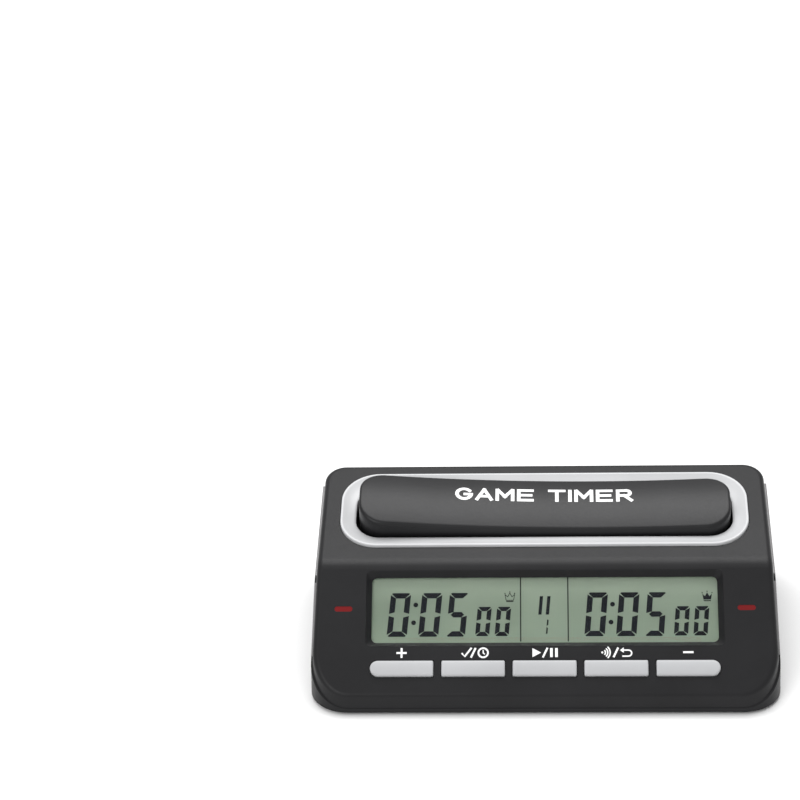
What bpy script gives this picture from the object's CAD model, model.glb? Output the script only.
import math
import bmesh
import bpy
from mathutils import Matrix, Vector


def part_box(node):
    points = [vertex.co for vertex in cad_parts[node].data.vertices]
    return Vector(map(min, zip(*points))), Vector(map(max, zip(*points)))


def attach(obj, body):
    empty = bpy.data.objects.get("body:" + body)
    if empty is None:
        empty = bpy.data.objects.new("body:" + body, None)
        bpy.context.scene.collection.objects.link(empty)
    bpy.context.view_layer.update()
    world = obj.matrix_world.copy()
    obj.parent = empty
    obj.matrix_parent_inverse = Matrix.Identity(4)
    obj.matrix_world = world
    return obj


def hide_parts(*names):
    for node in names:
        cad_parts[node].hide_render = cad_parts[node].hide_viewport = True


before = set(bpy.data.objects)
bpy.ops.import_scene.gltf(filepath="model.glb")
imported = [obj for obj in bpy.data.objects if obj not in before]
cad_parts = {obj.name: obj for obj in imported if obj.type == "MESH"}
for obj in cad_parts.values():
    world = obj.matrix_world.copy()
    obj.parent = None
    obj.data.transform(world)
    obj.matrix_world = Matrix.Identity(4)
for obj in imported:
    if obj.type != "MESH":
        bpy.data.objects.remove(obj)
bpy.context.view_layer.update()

# Lengths below are in millimetres and are turned into metres by MM.
MM = 0.001

# case: the sloping face, measured from the middle of the key row, and the flatter deck behind it
TILT, DECK_TILT = math.radians(38.0), math.radians(11.0)
KEY_Y, KEY_Z = -37.2, 12.4
BEND_LENGTH, RING_MIDDLE = 35.6, 24.66        # key row to the bend, bend to the ring's middle
PANEL_DEPTH = 3.2                             # display panel below the face

# side ledge: it follows the seam between cover and tub, which bends at the knee
BASE_Z = 1.0
SEAM_Y, SEAM_Z = -45.0, 2.2
KNEE_Y, KNEE_Z = -7.5, 27.4
WALL_LEAN, LEDGE_LEAN = 1.0 / 49.0, 1.1 / 49.0
LEDGE_LOW = 0.3
LEDGE_PATH = range(-30, 37, 3)

# trim ring: its band is as wide as the first number at the ends and the second along the sides
RING_HALF, RING_CORNER = (66.75, 17.3), 12.5
RING_BAND = (5.05, 5.4)
DISH_STEPS = 6

# rocker
PIN_DEPTH, REST_TILT = 7.0, math.radians(1.3)
CAP_HALF, CAP_CORNER, CAP_SKIRT = (60.7, 11.3), 8.0, 4.5
CAP_END, CAP_MIDDLE, CAP_RISE, CAP_CROWN, CAP_EDGE = 4.3, 1.75, 1.25, 1.2, 1.0
CAP_SIDE, CAP_TURN, CAP_TIP = 48, 12, 6       # points along a side, a corner and an end

# keys
KEY_TOP, KEY_LOW, KEY_HALF, KEY_ARCH = 0.75, -2.45, 2.6, 0.4
KEY_PITCH, KEY_OUTER = 22.68, 45.44
KEY_EDGE, KEY_FLANGE = 0.5, 0.8
LEGEND_Y = 5.25

# lettering on the rocker
LETTER_HEIGHT, LETTER_MIDDLE = 5.8, 3.0
LETTER_WIDTH, LETTER_GAP, SPACE, PEN = 4.6, 2.0, 3.6, 1.15
PRINT_STEP = 0.9                              # longest piece of a pen stroke

# display figures
SLANT = math.tan(math.radians(5.0))
SEGMENTS = {"0": "abcdef", "5": "acdfg"}
GAP = 0.13
FIGURE_LOW, FIGURE_TALL, FIGURE_BAR = 11.6, 14.7, 1.8
SMALL_RAISED, SMALL_WIDE, SMALL_TALL, SMALL_BAR = 0.15, 4.5, 9.8, 1.42
COLON_RADIUS, CROWN_RAISED = 0.78, 11.6

# ---------------------------------------------------------------- local frames


def sloped(y, z, angle):
    return Matrix.Translation((0, y * MM, z * MM)) @ Matrix.Rotation(angle, 4, "X")


FACE = sloped(KEY_Y, KEY_Z, TILT)
BEND = FACE @ Vector((0, BEND_LENGTH * MM, 0))
DECK = sloped(BEND.y / MM, BEND.z / MM, DECK_TILT) @ Matrix.Translation((0, RING_MIDDLE * MM, 0))
PIN = DECK @ Matrix.Translation((0, 0, -PIN_DEPTH * MM))
ROCKED = PIN @ Matrix.Rotation(REST_TILT, 4, "Y") @ Matrix.Translation((0, 0, PIN_DEPTH * MM))

# ---------------------------------------------------------------- materials


def new_material(name):
    mat = bpy.data.materials.new(name)
    mat.use_nodes = True
    tree = mat.node_tree
    return mat, tree, tree.nodes["Principled BSDF"]


def noise(tree, scale, detail=4.0, roughness=0.55):
    """Noise in the piece's own coordinates; scale is in features per metre."""
    where = tree.nodes.new("ShaderNodeTexCoord")
    node = tree.nodes.new("ShaderNodeTexNoise")
    node.inputs["Scale"].default_value = scale
    node.inputs["Detail"].default_value = detail
    node.inputs["Roughness"].default_value = roughness
    tree.links.new(where.outputs["Object"], node.inputs["Vector"])
    return node.outputs["Fac"]


def ramp(tree, source, low, high, start=0.35, end=0.65):
    node = tree.nodes.new("ShaderNodeValToRGB")
    node.color_ramp.elements[0].position = start
    node.color_ramp.elements[1].position = end
    node.color_ramp.elements[0].color = low
    node.color_ramp.elements[1].color = high
    tree.links.new(source, node.inputs["Fac"])
    return node.outputs["Color"]


def grey(value):
    return (value, value, value, 1.0)


PATCHES = 45.0                                # broad patches of tone, in features per metre


def moulded(name, colour, roughness, spread=0.12, grain=2200.0, depth=0.012, coat=0.0, specular=0.5):
    """Moulded or painted surface: patchy tone, patchy gloss and a fine grain in relief."""
    mat, tree, shader = new_material(name)
    patches = noise(tree, PATCHES)
    dark = tuple(c * (1 - spread) for c in colour) + (1.0,)
    light = tuple(min(1.0, c * (1 + spread)) for c in colour) + (1.0,)
    tree.links.new(ramp(tree, patches, dark, light), shader.inputs["Base Color"])
    speckle = noise(tree, grain * 0.5, detail=2.0)
    tree.links.new(ramp(tree, speckle, grey(roughness * 0.92), grey(min(1.0, roughness * 1.08))),
                   shader.inputs["Roughness"])
    bump = tree.nodes.new("ShaderNodeBump")
    bump.inputs["Strength"].default_value = 0.6
    bump.inputs["Distance"].default_value = depth * MM
    tree.links.new(noise(tree, grain, detail=3.0), bump.inputs["Height"])
    tree.links.new(bump.outputs["Normal"], shader.inputs["Normal"])
    shader.inputs["Coat Weight"].default_value = coat
    shader.inputs["Coat Roughness"].default_value = 0.25
    shader.inputs["Specular IOR Level"].default_value = specular
    return mat


def brushed(name, colour, roughness):
    """Turned or drawn metal: fine streaks along one direction."""
    mat, tree, shader = new_material(name)
    where = tree.nodes.new("ShaderNodeTexCoord")
    stretch = tree.nodes.new("ShaderNodeMapping")
    stretch.inputs["Scale"].default_value = (1.0, 18.0, 18.0)
    streaks = tree.nodes.new("ShaderNodeTexNoise")
    streaks.inputs["Scale"].default_value = 260.0
    tree.links.new(where.outputs["Object"], stretch.inputs["Vector"])
    tree.links.new(stretch.outputs["Vector"], streaks.inputs["Vector"])
    dark = tuple(c * 0.8 for c in colour) + (1.0,)
    tree.links.new(ramp(tree, streaks.outputs["Fac"], dark, colour + (1.0,)), shader.inputs["Base Color"])
    tree.links.new(ramp(tree, streaks.outputs["Fac"], grey(roughness * 0.8), grey(roughness * 1.2)),
                   shader.inputs["Roughness"])
    shader.inputs["Metallic"].default_value = 1.0
    return mat


def clear_sheet(name):
    """Clear window: it lets the display through and adds a faint, slightly uneven gloss."""
    mat, tree, shader = new_material(name)
    shader.inputs["Base Color"].default_value = (0.96, 0.985, 0.965, 1.0)
    shader.inputs["Transmission Weight"].default_value = 1.0
    shader.inputs["IOR"].default_value = 1.12
    tree.links.new(ramp(tree, noise(tree, 25.0), grey(0.02), grey(0.05)), shader.inputs["Roughness"])
    return mat


def display_glass(name):
    """Reflective grey-green display: a fine horizontal polariser grain over soft cloudy tone."""
    mat, tree, shader = new_material(name)
    tone = ramp(tree, noise(tree, 18.0), (0.315, 0.385, 0.295, 1.0), (0.345, 0.415, 0.325, 1.0))
    tree.links.new(tone, shader.inputs["Base Color"])
    tree.links.new(ramp(tree, noise(tree, 1500.0), grey(0.34), grey(0.42)), shader.inputs["Roughness"])
    return mat


def circuit(name):
    """Green solder mask with faint lighter tracks."""
    mat, tree, shader = new_material(name)
    where = tree.nodes.new("ShaderNodeTexCoord")
    tracks = tree.nodes.new("ShaderNodeTexBrick")
    tracks.inputs["Scale"].default_value = 220.0
    tracks.inputs["Color1"].default_value = (0.012, 0.085, 0.035, 1.0)
    tracks.inputs["Color2"].default_value = (0.016, 0.105, 0.045, 1.0)
    tracks.inputs["Mortar"].default_value = (0.035, 0.19, 0.08, 1.0)
    tree.links.new(where.outputs["Object"], tracks.inputs["Vector"])
    tree.links.new(tracks.outputs["Color"], shader.inputs["Base Color"])
    tree.links.new(ramp(tree, noise(tree, 120.0), grey(0.3), grey(0.4)), shader.inputs["Roughness"])
    return mat


CASE = moulded("case_plastic", (0.011, 0.011, 0.012), 0.40, grain=2600.0, depth=0.02, specular=0.2)
CAP = moulded("rocker_plastic", (0.012, 0.012, 0.013), 0.36, grain=3000.0, depth=0.012, specular=0.24)
SILVER = moulded("silver_paint", (0.56, 0.565, 0.575), 0.34, spread=0.03, grain=3500.0, depth=0.004,
                 specular=0.4)
KEY_PAINT = moulded("key_paint", (0.42, 0.425, 0.435), 0.36, spread=0.03, grain=3500.0, depth=0.004,
                    specular=0.35)
LEDGE = moulded("ledge_gloss", (0.24, 0.235, 0.24), 0.25, spread=0.08, grain=3000.0, depth=0.006)
INSIDE = moulded("inner_plastic", (0.016, 0.016, 0.018), 0.5)
LENS = moulded("red_lens", (0.15, 0.005, 0.006), 0.22, spread=0.2, grain=900.0, depth=0.003, specular=0.25)
LEGEND = moulded("white_print", (0.86, 0.86, 0.86), 0.5, spread=0.02, grain=4000.0, depth=0.002)
FIGURE = moulded("display_ink", (0.008, 0.009, 0.013), 0.5, spread=0.1, grain=3000.0, depth=0.001,
                 specular=0.1)
LINE = moulded("display_line", (0.025, 0.03, 0.028), 0.5, spread=0.1, grain=3000.0, depth=0.001, specular=0.1)
RUBBER = moulded("foot_rubber", (0.020, 0.020, 0.020), 0.8, grain=1500.0, depth=0.03)
MEMBRANE = moulded("silicone", (0.30, 0.30, 0.31), 0.6)
STRIP = moulded("contact_strip", (0.42, 0.17, 0.15), 0.6)
EPOXY = moulded("epoxy", (0.012, 0.012, 0.013), 0.25)
DIODE = moulded("diode", (0.75, 0.70, 0.62), 0.3)
PLUNGER = moulded("plunger_red", (0.45, 0.03, 0.025), 0.35)
SLEEVE = moulded("cell_sleeve", (0.045, 0.16, 0.075), 0.28, coat=0.4)
STEEL = brushed("plain_steel", (0.62, 0.62, 0.63), 0.3)
ZINC = brushed("zinc_screw", (0.52, 0.53, 0.55), 0.35)
CLEAR = clear_sheet("window_clear")
GLASS = display_glass("display_panel")
BOARD = circuit("circuit_board")

NODE_LOOKS = {
    "top_cover": CASE, "base_tub": CASE, "battery_door": CASE, "display_window": CLEAR,
    "lcd_panel": GLASS, "lcd_frame": INSIDE, "lcd_contact_strip": STRIP, "main_board": BOARD,
    "processor": EPOXY, "timing_crystal": STEEL, "left_led_lens": LENS, "right_led_lens": LENS,
    "left_led": DIODE, "right_led": DIODE, "key_board": BOARD, "key_membrane": MEMBRANE,
    "board_screws": ZINC, "key_plus": SILVER, "key_select": SILVER, "key_start": SILVER,
    "key_sound": SILVER, "key_minus": SILVER, "trim_ring": SILVER, "rocker_well": INSIDE,
    "well_screws": ZINC, "rocker_pin": STEEL, "rocker_cap": CAP, "left_rocker_switch": EPOXY,
    "right_rocker_switch": EPOXY, "left_plunger": PLUNGER, "right_plunger": PLUNGER,
    "detent_spring": STEEL, "battery_cradle": INSIDE, "battery": SLEEVE, "battery_plate": STEEL,
    "battery_spring": STEEL, "power_switch_body": EPOXY, "power_switch_knob": CAP, "buzzer": EPOXY,
    "rubber_feet": RUBBER, "case_screws": ZINC,
}


def dress_nodes():
    for name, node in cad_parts.items():
        node.data.materials.clear()
        node.data.materials.append(NODE_LOOKS[name])


# ---------------------------------------------------------------- mesh helpers


def add_piece(name, points, faces, material, place, body, smooth=True):
    """A new mesh whose points are in millimetres in a local frame."""
    mesh = bpy.data.meshes.new(name)
    mesh.from_pydata([place @ (Vector(p) * MM) for p in points], [], faces)
    work = bmesh.new()
    work.from_mesh(mesh)
    bmesh.ops.recalc_face_normals(work, faces=work.faces)
    work.to_mesh(mesh)
    work.free()
    for face in mesh.polygons:
        face.use_smooth = smooth
    mesh.materials.append(material)
    piece = bpy.data.objects.new(name, mesh)
    bpy.context.scene.collection.objects.link(piece)
    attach(piece, body)
    return piece


def rounded_loop(half_x, half_y, corners, side_steps=24, end_steps=6, corner_steps=12):
    """Points round a rounded rectangle, anticlockwise from its lower left; corners = (left, right) radii."""
    left, right = (min(r, half_x, half_y) for r in corners)
    loop = []
    turns = ((1, -1, right, -90), (1, 1, right, 0), (-1, 1, left, 90), (-1, -1, left, 180))
    starts = [(-half_x + left, -half_y), (half_x, -half_y + right),
              (half_x - right, half_y), (-half_x, half_y - left)]
    ends = [(half_x - right, -half_y), (half_x, half_y - right),
            (-half_x + left, half_y), (-half_x, -half_y + left)]
    for i, (sx, sy, radius, first) in enumerate(turns):
        steps = side_steps if i % 2 == 0 else end_steps
        for k in range(steps):
            share = k / steps
            loop.append((starts[i][0] + (ends[i][0] - starts[i][0]) * share,
                         starts[i][1] + (ends[i][1] - starts[i][1]) * share))
        for k in range(corner_steps):
            angle = math.radians(first + 90 * k / corner_steps)
            loop.append((sx * (half_x - radius) + radius * math.cos(angle),
                         sy * (half_y - radius) + radius * math.sin(angle)))
    return loop


def bridge(loops, closed=False):
    """Quads between loops with the same number of points."""
    count = len(loops[0])
    points = [p for loop in loops for p in loop]
    faces = []
    pairs = len(loops) if closed else len(loops) - 1
    for i in range(pairs):
        a, b = i * count, ((i + 1) % len(loops)) * count
        for k in range(count):
            faces.append((a + k, a + (k + 1) % count, b + (k + 1) % count, b + k))
    return points, faces


def arc_points(cx, cy, radius, first, last, steps):
    turns = [math.radians(first + (last - first) * k / steps) for k in range(steps + 1)]
    return [(cx + radius * math.cos(turn), cy + radius * math.sin(turn)) for turn in turns]


def flat_shapes(name, shapes, low, high, material, place, body):
    """One piece of thin flat prisms, one for each outline."""
    points, faces = [], []
    for outline in shapes:
        base = len(points)
        count = len(outline)
        points += [(x, y, low) for x, y in outline] + [(x, y, high) for x, y in outline]
        faces.append(tuple(range(base + count, base + 2 * count)))
        faces.append(tuple(reversed(range(base, base + count))))
        for k in range(count):
            nxt = (k + 1) % count
            faces.append((base + k, base + nxt, base + count + nxt, base + count + k))
    return add_piece(name, points, faces, material, place, body, smooth=False)


def stroke(path, width):
    """The outline of a path drawn with a pen of this width."""
    left, right = [], []
    for i, point in enumerate(path):
        before = Vector(path[max(i - 1, 0)])
        after = Vector(path[min(i + 1, len(path) - 1)])
        along = (after - before).normalized()
        side = Vector((-along.y, along.x)) * width / 2
        left.append((point[0] + side.x, point[1] + side.y))
        right.append((point[0] - side.x, point[1] - side.y))
    return left + right[::-1]


def annulus(cx, cy, radius, width, steps=28):
    """A thin ring as two half-rings."""
    return [stroke(arc_points(cx, cy, radius, 0, 180, steps // 2), width),
            stroke(arc_points(cx, cy, radius, 180, 360, steps // 2), width)]


def rectangle(x0, y0, x1, y1):
    return [(x0, y0), (x1, y0), (x1, y1), (x0, y1)]


# ---------------------------------------------------------------- display


def lean(outline, floor_y):
    return [(x + (y - floor_y) * SLANT, y) for x, y in outline]


def bar(x0, y0, x1, y1, thick, upright, outer, outer_end=""):
    """One bar of a digit: its longer edge lies outside, and the middle bar is pointed at both ends."""
    if upright:
        side = thick if outer > 0 else -thick
        low_cut, high_cut = (0.95, 0.42) if outer_end == "low" else (0.42, 0.95)
        return [(x0, y0 + thick * low_cut * 0.3 + GAP), (x0, y1 - thick * high_cut * 0.3 - GAP),
                (x0 - side, y1 - thick * high_cut - GAP), (x0 - side, y0 + thick * low_cut + GAP)]
    if outer:
        side = thick if outer > 0 else -thick
        return [(x0 + thick * 0.3 + GAP, y0), (x1 - thick * 0.3 - GAP, y0),
                (x1 - thick * 0.1 - GAP, y0 - side * 0.16), (x1 - thick * 0.95 - GAP, y0 - side),
                (x0 + thick * 0.95 + GAP, y0 - side), (x0 + thick * 0.1 + GAP, y0 - side * 0.16)]
    half = thick / 2
    return [(x0 + half, y0), (x0 + thick, y0 + half), (x1 - thick, y0 + half), (x1 - half, y0),
            (x1 - thick, y0 - half), (x0 + thick, y0 - half)]


def digit(figure, x, y, wide, tall, thick):
    middle = y + tall / 2
    bars = {
        "a": bar(x, y + tall, x + wide, 0, thick, False, 1),
        "d": bar(x, y, x + wide, 0, thick, False, -1),
        "g": bar(x, middle, x + wide, 0, thick, False, 0),
        "f": bar(x, middle, 0, y + tall, thick, True, -1, "high"),
        "e": bar(x, y, 0, middle, thick, True, -1, "low"),
        "b": bar(x + wide, middle, 0, y + tall, thick, True, 1, "high"),
        "c": bar(x + wide, y, 0, middle, thick, True, 1, "low"),
    }
    return [lean(bars[key], y) for key in SEGMENTS[figure]]


def crown(x, y, filled):
    """A small three-pointed crown, about 3 mm across."""
    outline = [(0.35, 0.0), (2.75, 0.0), (3.1, 2.1), (2.25, 1.2), (1.55, 2.6), (0.85, 1.2), (0.0, 2.1)]
    outline = [(x + px, y + 0.55 + py * 0.95) for px, py in outline]
    shapes = [rectangle(x + 0.4, y, x + 2.7, y + 0.34)]
    if filled:
        shapes += [[outline[0], outline[1], outline[2], outline[3]],
                   [outline[0], outline[3], outline[4], outline[5]], [outline[0], outline[5], outline[6]]]
    else:
        shapes += [stroke([outline[i], outline[(i + 1) % 7]], 0.2) for i in range(7)]
    shapes += [arc_points(x + px, y + 0.75 + py, 0.2, 0, 330, 11)
               for px, py in ((0, 2.1), (1.55, 2.6), (3.1, 2.1))]
    return shapes


def time_group(digits_x, small_x, colon, crown_x, filled):
    """One player's time: hours and minutes, small seconds, the colon's dots and a crown."""
    shapes = []
    for figure, place, wide in zip("005", digits_x, (6.5, 6.5, 6.15)):
        shapes += digit(figure, place, FIGURE_LOW, wide, FIGURE_TALL, FIGURE_BAR)
    for place in small_x:
        shapes += digit("0", place, FIGURE_LOW + SMALL_RAISED, SMALL_WIDE, SMALL_TALL, SMALL_BAR)
    for cx, cy in colon:
        shapes.append(arc_points(cx, cy, COLON_RADIUS, 0, 345, 23))
    return shapes + crown(crown_x, FIGURE_LOW + CROWN_RAISED, filled)


def make_display():
    left = time_group((-50.6, -40.5, -31.6), (-22.2, -15.95), ((-41.3, 22.3), (-41.95, 16.3)), -12.6, False)
    right = time_group((12.7, 22.8, 31.9), (41.2, 47.4), ((21.85, 22.3), (21.3, 16.3)), 50.6, True)
    middle = [lean(rectangle(-1.65, 18.9, -0.6, 25.1), 22.3), lean(rectangle(0.75, 18.9, 1.8, 25.1), 22.3)]
    middle += [lean([(0.45, 12.3), (0.95, 12.6), (0.95, 14.4), (0.45, 14.7)], 12.3),
               lean([(0.45, 15.1), (0.95, 15.4), (0.95, 17.0), (0.45, 17.3)], 12.3)]
    groups = (("left_time_figures", left), ("right_time_figures", right), ("middle_figures", middle))
    for name, shapes in groups:
        flat_shapes(name, shapes, -PANEL_DEPTH, -PANEL_DEPTH + 0.03, FIGURE, FACE, "case")
    lines = [rectangle(sx * 7.6 - 0.2, 9.9, sx * 7.6 + 0.2, 31.6) for sx in (-1, 1)]
    flat_shapes("display_dividers", lines, -PANEL_DEPTH, -PANEL_DEPTH + 0.02, LINE, FACE, "case")


# ---------------------------------------------------------------- printed key legends


def slash(x):
    return stroke([(x - 0.75, LEGEND_Y - 1.6), (x + 0.75, LEGEND_Y + 1.6)], 0.62)


def make_legends():
    y = LEGEND_Y
    plus = [rectangle(-47.15, y - 0.32, -43.85, y + 0.32), rectangle(-45.82, y + 0.32, -45.18, y + 1.62),
            rectangle(-45.82, y - 1.62, -45.18, y - 0.32)]
    select = [stroke([(-26.3, y - 0.1), (-25.4, y - 1.25), (-23.2, y + 1.65)], 0.6), slash(-22.65)]
    select += annulus(-19.5, y, 1.52, 0.55)
    select += [stroke([(-19.5, y + 0.85), (-19.5, y - 0.1), (-18.95, y - 0.5)], 0.38)]
    start = [[(-3.85, y - 1.5), (-1.1, y), (-3.85, y + 1.5)], slash(0.2),
             rectangle(1.75, y - 1.5, 2.6, y + 1.5), rectangle(3.35, y - 1.5, 4.2, y + 1.5)]
    sound = [arc_points(18.3, y, 0.34, 0, 345, 23)]
    sound += [stroke(arc_points(18.3, y, r, -48, 48, 10), 0.42) for r in (1.0, 1.75, 2.5)]
    hook = [(24.6, y - 1.25), (26.6, y - 1.25)] + arc_points(26.6, y - 0.25, 1.0, -80, 90, 10)
    hook.append((25.0, y + 0.75))
    arrow_head = [(25.1, y + 1.65), (23.9, y + 0.75), (25.1, y - 0.15)]
    sound += [slash(22.6), stroke(hook, 0.45), arrow_head]
    minus = [rectangle(43.85, y - 0.32, 47.15, y + 0.32)]
    for name, shapes in (("legend_plus", plus), ("legend_select", select), ("legend_start", start),
                         ("legend_sound", sound), ("legend_minus", minus)):
        flat_shapes(name, shapes, -0.01, 0.035, LEGEND, FACE, "case")


# ---------------------------------------------------------------- trim ring, rocker, keys


def make_ring():
    """Swept band: a small rounded outer bead, a dished slope down to the rocker, a hidden foot."""
    dish = [(0.9 + 4.05 * k / DISH_STEPS,
             0.72 - 1.5 * k / DISH_STEPS - 0.28 * math.sin(math.pi * k / DISH_STEPS))
            for k in range(DISH_STEPS + 1)]
    section = [(0.0, -2.2), (0.0, 0.5), (0.07, 0.72), (0.25, 0.87), (0.48, 0.9), (0.72, 0.84)] + dish
    section += [(5.03, -0.9), (5.05, -1.05), (5.05, -3.4), (-1.4, -3.4), (-1.4, -2.2)]
    loops = []
    for inset, z in section:
        side_inset = inset * (RING_BAND[1] / RING_BAND[0] if inset > 0 else 0.72)
        radii = (RING_CORNER - inset * 0.85,) * 2
        loop = rounded_loop(RING_HALF[0] - inset, RING_HALF[1] - side_inset, radii)
        loops.append([(x, y, z) for x, y in loop])
    points, faces = bridge(loops, closed=True)
    ring = add_piece("trim_ring_band", points, faces, SILVER, DECK, "case")
    ring.modifiers.new("edges", "EDGE_SPLIT").split_angle = math.radians(50)
    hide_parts("trim_ring")


def make_ledges():
    """The narrow glossy ledge that the lower tub shows outside the cover, along both sides."""
    tub_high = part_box("base_tub")[1]
    slope = (KNEE_Z - SEAM_Z) / (KNEE_Y - SEAM_Y)
    for side, word in ((-1, "left"), (1, "right")):
        points = []
        for y in LEDGE_PATH:
            z = KNEE_Z + (y - KNEE_Y) * (slope if y < KNEE_Y else math.tan(DECK_TILT))
            rim = tub_high.x / MM - (z - BASE_Z) * WALL_LEAN
            inner = rim - LEDGE_LOW - (z - BASE_Z) * LEDGE_LEAN
            points += [(side * (inner - 0.05), y, z + 0.02), (side * (rim - 0.1), y, z + 0.02),
                       (side * (rim + 0.03), y, z - 0.12), (side * (rim + 0.03), y, z - 0.4)]
        faces = [(4 * i + k, 4 * i + k + 1, 4 * i + k + 5, 4 * i + k + 4)
                 for i in range(len(LEDGE_PATH) - 1) for k in range(3)]
        strip = add_piece(f"{word}_ledge", points, faces, LEDGE, Matrix.Identity(4), "case")
        thick = strip.modifiers.new("thick", "SOLIDIFY")
        thick.thickness = 0.05 * MM
        thick.offset = 0.0


def cap_height(x, y):
    share = x / CAP_HALF[0]
    across = y / CAP_HALF[1]
    rise = CAP_RISE * (across + 1) / 2
    return CAP_MIDDLE + (CAP_END - CAP_MIDDLE) * share * share + rise + CAP_CROWN * (1 - across * across)


def cap_loop(inset, z):
    """The rocker's outline drawn in by inset, at one height."""
    loop = rounded_loop(CAP_HALF[0] - inset, CAP_HALF[1] - inset, (CAP_CORNER - inset,) * 2, CAP_SIDE)
    return [(x, y, z) for x, y in loop]


def make_cap():
    """Saddle-shaped rocker: higher ends, crowned front to back, one soft edge above upright walls."""
    loops = [cap_loop(1.2, -CAP_SKIRT), cap_loop(0.3, -CAP_SKIRT), cap_loop(0.0, -CAP_SKIRT + 0.3)]
    insets = [CAP_EDGE * (1 - math.cos(math.radians(15 * k))) for k in range(7)]
    insets += [1.4, 2.2, 3.2, 4.4, 5.7, 7.0, 8.3, 9.3, 10.2, 10.9]
    for inset in insets:
        radius = max(CAP_CORNER - inset * 0.72, 0.4)
        drop = CAP_EDGE - math.sqrt(max(0.0, CAP_EDGE ** 2 - max(0.0, CAP_EDGE - inset) ** 2))
        loop = rounded_loop(CAP_HALF[0] - inset, CAP_HALF[1] - inset, (radius,) * 2, CAP_SIDE)
        loops.append([(x, y, cap_height(x, y) - drop) for x, y in loop])
    points, faces = bridge(loops)
    count = len(loops[0])
    last = (len(loops) - 1) * count
    faces.append(tuple(reversed(range(count))))
    # The last loop is a long thin slot: its two sides are joined across, and each end is one face.
    first_upper = CAP_SIDE + CAP_TURN + CAP_TIP + CAP_TURN
    lower = [last + k for k in range(CAP_SIDE + 1)]
    upper = [last + first_upper + k for k in range(CAP_SIDE + 1)]
    for k in range(CAP_SIDE):
        faces.append((lower[k], lower[k + 1], upper[CAP_SIDE - k - 1], upper[CAP_SIDE - k]))
    faces.append(tuple(last + k for k in range(CAP_SIDE, first_upper + 1)))
    faces.append(tuple(last + k for k in range(first_upper + CAP_SIDE, count)) + (last,))
    cap = add_piece("rocker_cap_shell", points, faces, CAP, ROCKED, "rocker")
    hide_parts("rocker_cap")


# Pen strokes of each letter, in a box one unit wide and high.
LETTERS = {
    "G": [arc_points(0.5, 0.5, 0.5, 40, 360, 22)[:-1] + [(1.0, 0.46), (0.58, 0.46)]],
    "A": [[(0.0, 0.0), (0.5, 1.0)], [(1.0, 0.0), (0.5, 1.0)], [(0.2, 0.3), (0.8, 0.3)]],
    "M": [[(0.0, 0.0), (0.0, 1.0)], [(1.0, 0.0), (1.0, 1.0)],
          [(0.04, 1.0), (0.5, 0.3)], [(0.96, 1.0), (0.5, 0.3)]],
    "E": [[(0.0, 0.0), (0.0, 1.0)], [(0.0, 0.0), (0.95, 0.0)],
          [(0.0, 0.5), (0.85, 0.5)], [(0.0, 1.0), (0.95, 1.0)]],
    "T": [[(0.0, 1.0), (1.0, 1.0)], [(0.5, 0.0), (0.5, 1.0)]],
    "I": [[(0.0, 0.0), (0.0, 1.0)]],
    "R": [[(0.0, 0.0), (0.0, 1.0)],
          [(0.0, 1.0), (0.6, 1.0)] + arc_points(0.6, 0.74, 0.26, 90, -90, 10) + [(0.0, 0.48)],
          [(0.45, 0.48), (0.95, 0.0)]],
}


def printed_strokes(path):
    """Short quads along one pen stroke, small enough to follow the rocker's crown."""
    shapes = []
    for a, b in zip(path, path[1:]):
        start, end = Vector(a), Vector(b)
        along = (end - start).normalized()
        side = Vector((-along.y, along.x)) * PEN / 2
        start = start - along * PEN / 2
        end = end + along * PEN / 2
        steps = max(1, round((end - start).length / PRINT_STEP))
        for k in range(steps):
            p, q = start.lerp(end, k / steps), start.lerp(end, (k + 1) / steps)
            shapes.append([p + side, p - side, q - side, q + side])
    return shapes


def make_lettering():
    """Plain generic lettering printed on the rocker's crown, following its curve."""
    shapes = []
    pen_x = 0.0
    for letter in "GAME TIMER":
        if letter == " ":
            pen_x += SPACE
            continue
        wide = {"I": 0.0, "M": LETTER_WIDTH * 1.1}.get(letter, LETTER_WIDTH)
        tall = LETTER_HEIGHT - PEN
        for path in LETTERS[letter]:
            low = LETTER_MIDDLE - tall / 2
            shapes += printed_strokes([(pen_x + px * wide, low + py * tall) for px, py in path])
        pen_x += wide + LETTER_GAP
    middle = (pen_x - LETTER_GAP) / 2
    points, faces = [], []
    for outline in shapes:
        base = len(points)
        corners = [(p.x - middle, p.y) for p in outline]
        # The tops differ a little in height, so that overlapping strokes don't share a plane.
        for lift in (-0.03, 0.04 + 0.0004 * (base % 7)):
            points += [(x, y, cap_height(x, y) + lift) for x, y in corners]
        faces += [(base + 3, base + 2, base + 1, base), (base + 4, base + 5, base + 6, base + 7)]
        faces += [(base + k, base + (k + 1) % 4, base + 4 + (k + 1) % 4, base + 4 + k) for k in range(4)]
    add_piece("rocker_lettering", points, faces, LEGEND, ROCKED, "rocker", smooth=False)


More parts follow.
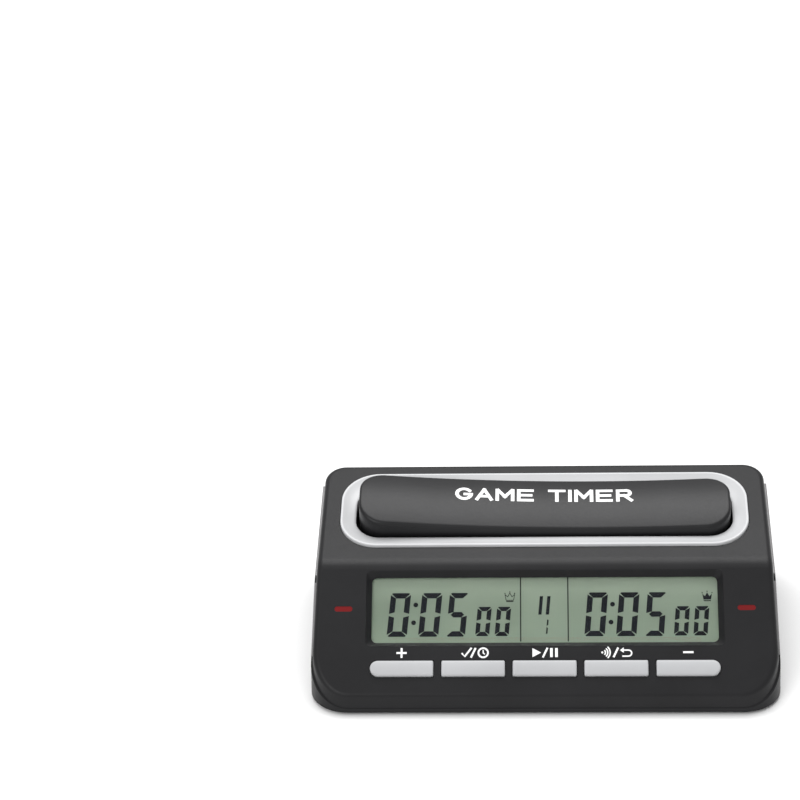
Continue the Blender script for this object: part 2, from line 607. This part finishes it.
def make_keys():
    """Each key: a softly crowned cap with rounded edges, and the flange that holds it in the case."""
    table = (("key_plus", -KEY_OUTER, 10.1, (2.58, 0.5)), ("key_select", -KEY_PITCH, 10.1, (0.5, 0.5)),
             ("key_start", 0.0, 10.15, (0.5, 0.5)), ("key_sound", KEY_PITCH, 10.1, (0.5, 0.5)),
             ("key_minus", KEY_OUTER, 10.1, (0.5, 2.58)))
    for name, middle, half_x, corners in table:
        loops = []
        section = [(-KEY_FLANGE, KEY_LOW - 0.7), (-KEY_FLANGE, KEY_LOW), (0.0, KEY_LOW),
                   (0.0, KEY_TOP - KEY_EDGE)]
        section += [(KEY_EDGE * (1 - math.cos(math.radians(a))),
                     KEY_TOP - KEY_EDGE + KEY_EDGE * math.sin(math.radians(a)))
                    for a in (22, 45, 67, 90)]
        section += [(0.9, KEY_TOP), (1.4, KEY_TOP), (2.0, KEY_TOP), (2.45, KEY_TOP)]
        for inset, z in section:
            radii = tuple(max(r - max(inset, 0.0) * 0.8, 0.12) for r in corners)
            loop = rounded_loop(half_x - inset, KEY_HALF - inset, radii, 8, 3, 8)
            arch = KEY_ARCH if z > 0 else 0.0
            loops.append([(middle + x, y, z + arch * (1 - (y / KEY_HALF) ** 2)) for x, y in loop])
        points, faces = bridge(loops)
        count = len(loops[0])
        faces.append(tuple(reversed(range(count))))
        faces.append(tuple(range(len(points) - count, len(points))))
        key = add_piece(name + "_cap", points, faces, KEY_PAINT, FACE, name)
        key.modifiers.new("edges", "EDGE_SPLIT").split_angle = math.radians(50)
        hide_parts(name)


# ---------------------------------------------------------------- stage


def area_light(name, place, target, size, power, size_y=None):
    lamp = bpy.data.lights.new(name, "AREA")
    lamp.energy = power
    lamp.size = size
    if size_y:
        lamp.shape = "RECTANGLE"
        lamp.size_y = size_y
    holder = bpy.data.objects.new(name, lamp)
    holder.location = place
    holder.rotation_euler = (Vector(target) - Vector(place)).to_track_quat("-Z", "Y").to_euler()
    bpy.context.scene.collection.objects.link(holder)


def make_stage():
    mesh = bpy.data.meshes.new("floor")
    reach = 6.0
    corners = [(-reach, -reach, 0), (reach, -reach, 0), (reach, reach, 0), (-reach, reach, 0)]
    mesh.from_pydata(corners, [], [(0, 1, 2, 3)])
    mat, tree, shader = new_material("pale_floor")
    tree.links.new(ramp(tree, noise(tree, 3.0), grey(0.86), grey(0.88)), shader.inputs["Base Color"])
    shader.inputs["Roughness"].default_value = 0.8
    mesh.materials.append(mat)
    floor = bpy.data.objects.new("floor", mesh)
    bpy.context.scene.collection.objects.link(floor)

    world = bpy.data.worlds.new("studio")
    bpy.context.scene.world = world
    world.use_nodes = True
    world.node_tree.nodes["Background"].inputs["Color"].default_value = (1.0, 1.0, 1.0, 1.0)
    world.node_tree.nodes["Background"].inputs["Strength"].default_value = 0.75
    area_light("overhead", (0.0, 0.35, 0.9), (0, 0, 0.02), 0.8, 7.5, 0.5)
    area_light("front_fill", (-0.5, -0.8, 0.7), (0, 0, 0.02), 0.6, 4.0)
    bpy.context.scene.view_settings.view_transform = "Standard"


def make_camera():
    camera = bpy.data.cameras.new("camera")
    camera.sensor_width = 36.0
    camera.lens = 123.98
    camera.clip_start = 0.01
    holder = bpy.data.objects.new("camera", camera)
    right = Vector((0.99846617, 0.04370713, -0.03398521))
    up = Vector((0.00792652, 0.49466521, 0.86904747))
    back = right.cross(up)
    turn = Matrix((right, up, back)).transposed().to_4x4()
    holder.matrix_world = Matrix.Translation((0.002743, -0.755227, 0.519022)) @ turn
    bpy.context.scene.collection.objects.link(holder)
    bpy.context.scene.camera = holder


dress_nodes()
make_display()
make_legends()
make_ring()
make_ledges()
make_cap()
make_lettering()
make_keys()
make_stage()
make_camera()
